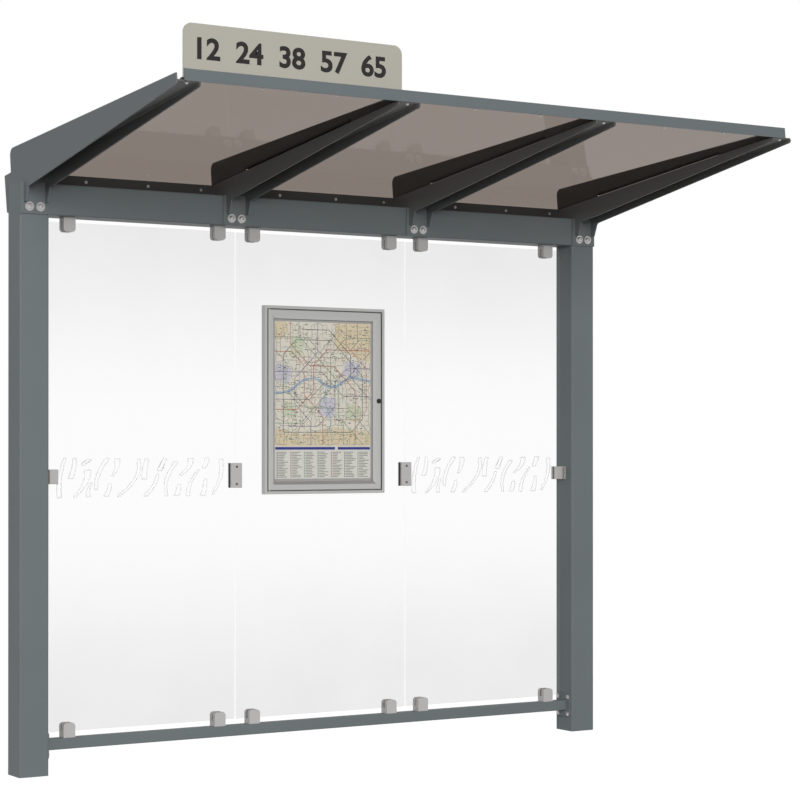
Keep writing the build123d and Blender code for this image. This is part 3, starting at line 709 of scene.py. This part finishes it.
def mark_group():
    """A printed bar from each point to the right, of a length drawn by lot."""
    tree, given = node_group(
        "Printed mark", Bar_length="Float", Bar_height="Float", Ink_thickness="Float",
        Shortest_share="Float", Seed="Int", Finish="Material")
    size = add(tree, "ShaderNodeCombineXYZ", {
        "X": given["Bar length"], "Y": given["Bar height"], "Z": given["Ink thickness"]})
    bar = add(tree, "GeometryNodeMeshCube", {"Size": size.outputs["Vector"]})
    half = add(tree, "ShaderNodeMath", {0: given["Bar length"], 1: 0.5}, operation="MULTIPLY")
    to_right = add(tree, "ShaderNodeCombineXYZ", {"X": half.outputs["Value"]})
    from_end = add(tree, "GeometryNodeTransform", {
        "Geometry": bar.outputs["Mesh"], "Translation": to_right.outputs["Vector"]})
    share = add(tree, "FunctionNodeRandomValue", {
        "Min": given["Shortest share"], "Max": 1.0, "Seed": given["Seed"]}, data_type="FLOAT")
    stretch = add(tree, "ShaderNodeCombineXYZ", {"Y": 1, "Z": 1})
    tree.links.new(live(share), stretch.inputs["X"])
    placed = add(tree, "GeometryNodeInstanceOnPoints", {
        "Points": given["Geometry"], "Instance": from_end.outputs["Geometry"],
        "Scale": stretch.outputs["Vector"]})
    close_group(tree, placed.outputs["Instances"], given["Finish"])
    return tree


# Coated poster paper, printed all over in a pale tone: dull, and slightly blotchy where it has cockled.
poster_paper = satin_ink("Printed map paper", "#E6E0D2", "#DED8CA", 90 * mm)
coat(poster_paper, "poster")
low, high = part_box("poster")
sheet_face, ink_thickness = low.y, 0.04 * mm
inks = {label: satin_ink("Offset ink, " + label, light, dark, 25 * mm) for label, light, dark in (
    ("beige", "#E0D2B2", "#D9CAAA"), ("leaf", "#D1D8BC", "#CAD0B4"), ("lilac", "#D0CDD6", "#C9C6CF"),
    ("water", "#A1BBD2", "#9AB4CC"), ("street", "#8F8E84", "#87867C"), ("salmon", "#BB6449", "#B35D43"),
    ("green", "#5F9562", "#578D5A"), ("purple", "#77629B", "#6F5A93"), ("slate", "#38434D", "#313C46"),
    ("blue", "#27318A", "#222B80"), ("red", "#AA3B33", "#A1352D"), ("white", "#DFDED7", "#D8D7D0"))}
areas, streets, marks = area_group(), street_group(), mark_group()
# Each print sinks into the one under it, and stands out by this share of its own thickness.
layers, standing_share = itertools.count(1), 0.6


def lay_print(name, tree, points, lines=(), ink="street", **sizes):
    """Prints a piece on the poster, over all that was printed before it. Points are in millimetres."""
    piece = worked(
        name, tree, [(x * mm, y * mm, 0) for x, y in points], lines, Ink_thickness=ink_thickness,
        Finish=inks[ink], **sizes)
    stand_up(piece, low.x, sheet_face - next(layers) * standing_share * ink_thickness, low.z)
    fit(piece, "shelter")


def joined(start, count, closed=False):
    """The lines that join this many points in a row."""
    row = [(start + i, start + i + 1) for i in range(count - 1)]
    return row + [(start + count - 1, start)] if closed else row


# Districts: the ink and the corners of each. The map stands over the key, which is 118 mm high.
for label, ink, corners in (
        ("north", "beige", ((262, 500), (420, 440), (420, 594), (262, 594))),
        ("south", "beige", ((0, 124), (420, 124), (420, 178), (250, 196), (120, 168), (0, 192))),
        ("west", "beige", ((0, 500), (60, 560), (52, 594), (0, 594))),
        ("park_1", "leaf", ((58, 452), (118, 470), (132, 532), (70, 540))),
        ("park_2", "leaf", ((300, 226), (372, 214), (386, 268), (318, 286))),
        ("park_3", "leaf", ((30, 236), (84, 228), (96, 282), (44, 296))),
        ("port_1", "lilac", ((186, 240), (262, 232), (274, 306), (196, 312))),
        ("port_2", "lilac", ((296, 392), (368, 380), (380, 440), (306, 452))),
        ("port_3", "lilac", ((0, 372), (62, 352), (74, 420), (0, 440)))):
    lay_print("map_area_" + label, areas, corners, joined(0, len(corners), True), ink,
              Corner_radius=16 * mm)
river = ((0, 322), (64, 330), (118, 372), (176, 384), (222, 352), (262, 348), (330, 388), (420, 372))
lay_print("map_river", printed_lines, river, joined(0, len(river)), "water", Line_width=9 * mm,
          Corner_radius=30 * mm)
lay_print("map_canal", printed_lines, ((222, 352), (214, 300), (246, 220), (236, 178)), joined(0, 4),
          "water", Line_width=4 * mm, Corner_radius=20 * mm)
lay_print("map_streets", streets, ((210, 358),), (), "street", Width=408 * mm, Height=452 * mm, Columns=25,
          Rows=27, Stray=6 * mm, Left_out=0.3, Line_width=1.5 * mm, Seed=3)
lay_print("map_avenues", streets, ((210, 358),), (), "white", Width=396 * mm, Height=440 * mm, Columns=9,
          Rows=10, Stray=17 * mm, Left_out=0.12, Line_width=2.0 * mm, Seed=8)
# Routes: the ink, the width and the stops of each, in millimetres from the sheet's lower left corner.
routes = (
    ("slate", 1.5, ((36, 176), (36, 470), (92, 526), (250, 526))),
    ("slate", 1.5, ((250, 526), (384, 392), (384, 226), (334, 176), (36, 176))),
    ("slate", 1.3, ((420, 300), (332, 388), (332, 470), (236, 566), (120, 566))),
    ("salmon", 1.8, ((0, 262), (96, 262), (168, 334), (168, 430), (228, 490), (420, 490))),
    ("salmon", 1.8, ((66, 594), (66, 512), (150, 428), (258, 428), (352, 334), (352, 128))),
    ("salmon", 1.6, ((0, 480), (74, 480), (126, 428), (126, 318), (208, 236), (208, 128))),
    ("green", 1.5, ((0, 210), (112, 210), (242, 340), (242, 468), (312, 538), (420, 538))),
    ("green", 1.5, ((104, 594), (104, 540), (276, 368), (276, 240), (388, 128))),
    ("purple", 1.5, ((0, 404), (206, 404), (296, 314), (420, 314))),
    ("purple", 1.5, ((156, 128), (156, 214), (86, 284), (86, 380), (186, 480), (186, 594))),
    ("purple", 1.3, ((420, 420), (316, 420), (262, 366), (262, 274), (186, 198), (60, 198))),
    ("street", 1.6, ((0, 536), (140, 536), (216, 460), (300, 460), (362, 522), (362, 594))),
    ("street", 1.6, ((0, 348), (60, 348), (140, 268), (320, 268), (420, 168))),
    ("street", 1.4, ((280, 594), (280, 566), (200, 486), (200, 286), (100, 186), (100, 128))),
    ("slate", 1.2, ((0, 300), (150, 300), (222, 372), (306, 372), (420, 486))),
    ("green", 1.3, ((300, 128), (300, 198), (226, 272), (114, 272), (48, 338), (48, 440), (0, 488))),
    ("salmon", 1.3, ((312, 594), (312, 510), (402, 420), (402, 260), (366, 224), (250, 224))))
# The ink spreads on the paper, and each route comes out wider than it was drawn.
spread = 1.3
for ink in ("street", "green", "purple", "salmon", "slate"):
    for width in sorted({w for i, w, stops in routes if i == ink}):
        points, lines = [], []
        for stops in (stops for i, w, stops in routes if (i, w) == (ink, width)):
            lines += joined(len(points), len(stops))
            points += stops
        lay_print(f"map_routes_{ink}_{round(width * 10)}", printed_lines, points, lines, ink,
                  Line_width=spread * width * mm, Corner_radius=9 * mm)
# Names beside the stops are too small to read, and are drawn as short bars.
lot = random.Random(11)
for ink, count, length, seed in (("slate", 210, 12, 4), ("street", 120, 14, 6), ("red", 60, 7, 9)):
    points = [(lot.uniform(6, 402), lot.uniform(132, 584)) for _ in range(count)]
    lay_print("map_names_" + ink, marks, points, (), ink, Bar_length=length * mm, Bar_height=2.2 * mm,
              Shortest_share=0.35, Seed=seed)
# The key under the map: a title strip, then seven columns of marked rows.
lay_print("key_ground", areas, ((0, 0), (420, 0), (420, 120), (0, 120)), joined(0, 4, True), "white",
          Corner_radius=0.1 * mm)
for label, left, right in (("left", 2, 262), ("right", 274, 418)):
    lay_print("key_strip_" + label, areas, ((left, 110), (right, 110), (right, 120), (left, 120)),
              joined(0, 4, True), "blue", Corner_radius=0.3 * mm)
columns = [8 + 59 * i for i in range(7)]
row_heights = [7 + 6.2 * i for i in range(16)]
for i, x in enumerate(columns):
    lay_print(f"key_rows_{i}", marks, [(x + 7, y) for y in row_heights], (), "street",
              Bar_length=44 * mm, Bar_height=2.8 * mm, Shortest_share=0.4, Seed=20 + i)
for ink, chosen in (("red", (1, 4)), ("green", (2, 6)), ("slate", (0, 3, 5))):
    lay_print("key_marks_" + ink, marks, [(columns[i], y) for i in chosen for y in row_heights], (), ink,
              Bar_length=4.5 * mm, Bar_height=3.4 * mm, Shortest_share=0.9, Seed=40)
# The lock's cap is moulded in black nylon, with a fine satin spark finish from its mould.
black_plastic = satin_ink("Moulded lock cap, black", "#161617", "#0F0F10", 5 * mm)
coat(black_plastic, "door_lock")
# A soft rubber seal is glued to the back of the door, all round its glazing, and meets the backing board.
low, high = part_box("door_glazing")
seal_outset, bar_and_seal_width, seal_thickness = 8 * mm, 6 * mm, 6.5 * mm
left, right = -seal_outset, high.x - low.x + seal_outset
foot, head = -seal_outset, high.z - low.z + seal_outset
door_seal = worked(
    "door_seal", printed_lines, [(left, foot, 0), (right, foot, 0), (right, head, 0), (left, head, 0)],
    joined(0, 4, True), Line_width=bar_and_seal_width, Ink_thickness=seal_thickness, Corner_radius=4 * mm,
    Finish=black_rubber_and_slot_shade)
stand_up(door_seal, low.x, high.y + seal_thickness / 2, low.z)
fit(door_seal, "case_door")

# ---- Studio ----
# A plain pale floor in a white surround that fills evenly, with one large soft lamp in front and
# a fainter one far off on the left. The camera looks from the front left, at chest height.


def shown_strength(tree, to_eye, in_gloss, elsewhere):
    """A strength by what meets it: the eye, directly or through glass; a glossy surface; or neither."""
    rays = add(tree, "ShaderNodeLightPath").outputs
    eye = add(tree, "ShaderNodeMath", {0: rays["Is Camera Ray"], 1: rays["Is Transmission Ray"]},
              operation="MAXIMUM")
    seen = add(tree, "ShaderNodeMix", {
        "Factor": rays["Is Glossy Ray"], "A": elsewhere, "B": in_gloss}, data_type="FLOAT")
    whole = add(tree, "ShaderNodeMix", {
        "Factor": eye.outputs["Value"], "A": seen.outputs["Result"], "B": to_eye}, data_type="FLOAT")
    return whole.outputs["Result"]


def studio_floor():
    """A plain floor that shows near white and keeps the shadow on it, but throws up little light."""
    finish, tree = bare_finish("Studio floor")
    matt = add(tree, "ShaderNodeBsdfDiffuse", {"Color": linear("#787878")})
    glow = add(tree, "ShaderNodeEmission", {
        "Color": linear("#FFFFFF"),
        "Strength": shown_strength(tree, to_eye=0.94, in_gloss=0.9, elsewhere=0.0)})
    both = add(tree, "ShaderNodeAddShader", {0: matt.outputs["BSDF"], 1: glow.outputs["Emission"]})
    add(tree, "ShaderNodeOutputMaterial", {"Surface": both.outputs["Shader"]})
    return finish


floor_reach = 60
mesh = bpy.data.meshes.new("floor")
mesh.from_pydata(
    [(x * floor_reach, y * floor_reach, -1 * mm) for x, y in ((-1, -1), (1, -1), (1, 1), (-1, 1))],
    [], [(0, 1, 2, 3)])
mesh.materials.append(studio_floor())
floor = bpy.data.objects.new("studio_floor", mesh)
scene.collection.objects.link(floor)

world = bpy.data.worlds.new("Studio surround")
scene.world = world
world.use_nodes = True
tree = world.node_tree
tree.nodes.clear()
surround = add(tree, "ShaderNodeBackground", {
    "Color": linear("#FFFFFF"),
    "Strength": shown_strength(tree, to_eye=1.0, in_gloss=0.75, elsewhere=0.33)})
add(tree, "ShaderNodeOutputWorld", {"Surface": surround.outputs["Background"]})

# Each lamp looks at the shelter's middle. Its place and its side are in metres, its power in watts.
lit_middle = Vector((1.2, -0.3, 1.3))
for name, place, size, power in (
        ("key_lamp", (-3.4, -12.8, 4.4), 6.0, 1460), ("side_lamp", (-19.2, -6.7, 5.5), 8.0, 650)):
    lamp = bpy.data.lights.new(name, "AREA")
    lamp.shape = "SQUARE"
    lamp.size = size
    lamp.energy = power
    holder = bpy.data.objects.new(name, lamp)
    holder.location = place
    holder.rotation_euler = (lit_middle - Vector(place)).to_track_quat("-Z", "Y").to_euler()
    holder.visible_glossy = False
    scene.collection.objects.link(holder)

lens = bpy.data.cameras.new("camera")
lens.lens = 99.88
lens.sensor_width = 36
lens.shift_y = 0.0463
lens.clip_end = 200
camera = bpy.data.objects.new("camera", lens)
camera.location = (-3.0358, -7.3368, 1.1643)
camera.rotation_euler = (radians(90.204), 0, radians(-31.984))
scene.collection.objects.link(camera)
scene.camera = camera
scene.view_settings.view_transform = "Standard"
